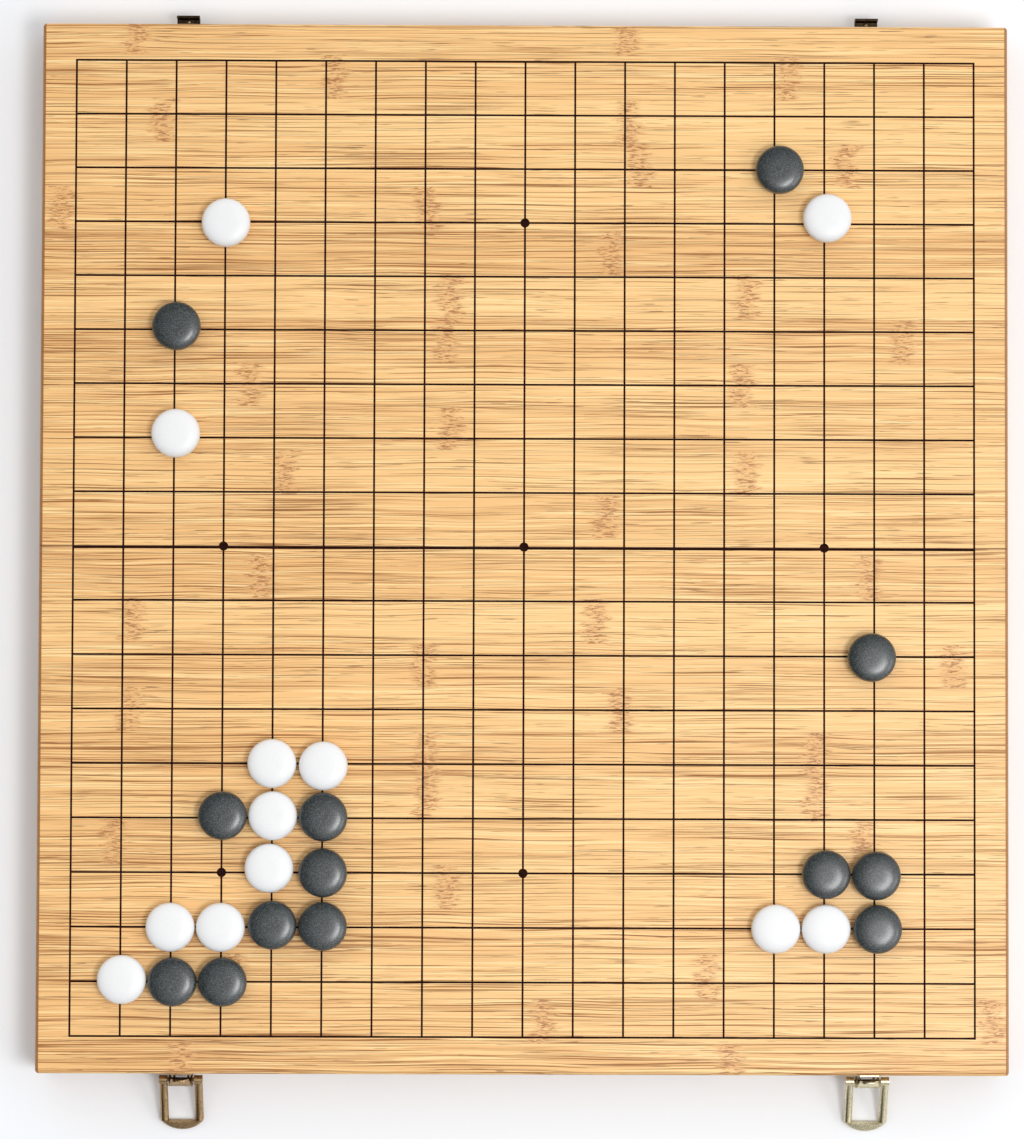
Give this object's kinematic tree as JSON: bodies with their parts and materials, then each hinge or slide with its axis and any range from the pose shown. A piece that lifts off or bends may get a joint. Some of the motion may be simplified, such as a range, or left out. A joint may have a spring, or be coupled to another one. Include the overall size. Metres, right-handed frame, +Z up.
{
  "type": "folding go board",
  "caption": "Folding go board of two hinged bamboo cases, with a pull-out stone drawer in each half, toggle latches with loops and hooks, and loose stones on the playing face.",
  "frame": {"origin": "centre of the whole outline, latches included, on the surface that the board lies on", "axes": "+X to the right of the player at the latches, +Y towards the half with the hooks, +Z up out of the playing face"},
  "size_m": [0.426, 0.4948, 0.0389],
  "materials": {
    "bamboo_face": "clear satin lacquer",
    "bamboo_case": "satin lacquer",
    "bamboo_ply": "sanded, unlacquered",
    "bamboo_drawer": "satin lacquer",
    "felt": "matt felt",
    "hinge_brass": "satin",
    "left_latch_bronze": "antique finish, rubbed",
    "right_latch_bronze": "antique finish, paler",
    "latch_pins": "dark antique finish",
    "hook_bronze": "dark antique finish",
    "printed_ink": "thin screen-printed lines and star points",
    "white_stone": "polished, opaque",
    "black_stone": "polished, opaque"
  },
  "bodies": {
    "rear_half": {"rear_playing_panel": "bamboo_face", "rear_seam_wall": "bamboo_case", "rear_outer_wall": "bamboo_case", "rear_mouth_wall": "bamboo_case", "rear_side_wall": "bamboo_case", "rear_base_panel": "bamboo_ply", "rear_cross_wall": "bamboo_case", "rear_drawer_guides": "bamboo_case", "rear_drawer_stops": "bamboo_case", "rear_felt_pads": "felt", "hinge_rear_leaves": "hinge_brass", "hinge_pins": "hinge_brass", "left_catch_hook": "hook_bronze", "right_catch_hook": "hook_bronze"},
    "front_half": {"front_playing_panel": "bamboo_face", "front_seam_wall": "bamboo_case", "front_outer_wall": "bamboo_case", "front_mouth_wall": "bamboo_case", "front_side_wall": "bamboo_case", "front_base_panel": "bamboo_ply", "front_cross_wall": "bamboo_case", "front_drawer_guides": "bamboo_case", "front_drawer_stops": "bamboo_case", "front_felt_pads": "felt", "hinge_front_leaves": "hinge_brass", "left_latch_base": "left_latch_bronze", "right_latch_base": "right_latch_bronze", "left_lever_pin": "latch_pins", "right_lever_pin": "latch_pins"},
    "rear_drawer": {"rear_drawer_front": "bamboo_drawer", "rear_drawer_sides": "bamboo_drawer", "rear_drawer_back": "bamboo_drawer", "rear_drawer_bottom": "bamboo_ply"},
    "front_drawer": {"front_drawer_front": "bamboo_drawer", "front_drawer_sides": "bamboo_drawer", "front_drawer_back": "bamboo_drawer", "front_drawer_bottom": "bamboo_ply"},
    "left_lever": {"left_latch_lever": "left_latch_bronze", "left_loop_pin": "latch_pins"},
    "left_loop": {"left_latch_loop": "left_latch_bronze"},
    "right_lever": {"right_latch_lever": "right_latch_bronze", "right_loop_pin": "latch_pins"},
    "right_loop": {"right_latch_loop": "right_latch_bronze"},
    "white_stones_rear_lot": {"white_stones_rear": "white_stone"},
    "black_stones_rear_lot": {"black_stones_rear": "black_stone"},
    "white_stones_front_lot": {"white_stones_front": "white_stone"},
    "black_stones_front_lot": {"black_stones_front": "black_stone"}
  },
  "joints": [
    {"name": "board_fold", "type": "hinge", "parent": "rear_half", "child": "front_half", "pos_m": [0, 0.00984, 0.0015], "axis": [1, 0, 0], "range_deg": [0, 179.6]},
    {"name": "rear_drawer_slide", "type": "slide", "parent": "rear_half", "child": "rear_drawer", "axis": [-1, 0, 0], "range_m": [0, 0.1995]},
    {"name": "front_drawer_slide", "type": "slide", "parent": "front_half", "child": "front_drawer", "axis": [1, 0, 0], "range_m": [0, 0.1995]},
    {"name": "left_lever_turn", "type": "hinge", "parent": "front_half", "child": "left_lever", "pos_m": [-0.1502, -0.22476, 0.0095], "axis": [1, 0, 0], "range_deg": [0, 100]},
    {"name": "left_loop_turn", "type": "hinge", "parent": "left_lever", "child": "left_loop", "pos_m": [-0.1502, -0.22456, 0.0143], "axis": [-1, 0, 0], "range_deg": [-59, 115]},
    {"name": "right_lever_turn", "type": "hinge", "parent": "front_half", "child": "right_lever", "pos_m": [0.1522, -0.22476, 0.0095], "axis": [1, 0, 0], "range_deg": [0, 100]},
    {"name": "right_loop_turn", "type": "hinge", "parent": "right_lever", "child": "right_loop", "pos_m": [0.1522, -0.22456, 0.0143], "axis": [-1, 0, 0], "range_deg": [-59, 115]},
    {"name": "white_stones_rear_lift", "type": "slide", "parent": "rear_half", "child": "white_stones_rear_lot", "axis": [0, 0, 1], "range_m": [0, 0.03]},
    {"name": "black_stones_rear_lift", "type": "slide", "parent": "rear_half", "child": "black_stones_rear_lot", "axis": [0, 0, 1], "range_m": [0, 0.03]},
    {"name": "white_stones_front_lift", "type": "slide", "parent": "front_half", "child": "white_stones_front_lot", "axis": [0, 0, 1], "range_m": [0, 0.03]},
    {"name": "black_stones_front_lift", "type": "slide", "parent": "front_half", "child": "black_stones_front_lot", "axis": [0, 0, 1], "range_m": [0, 0.03]}
  ]
}
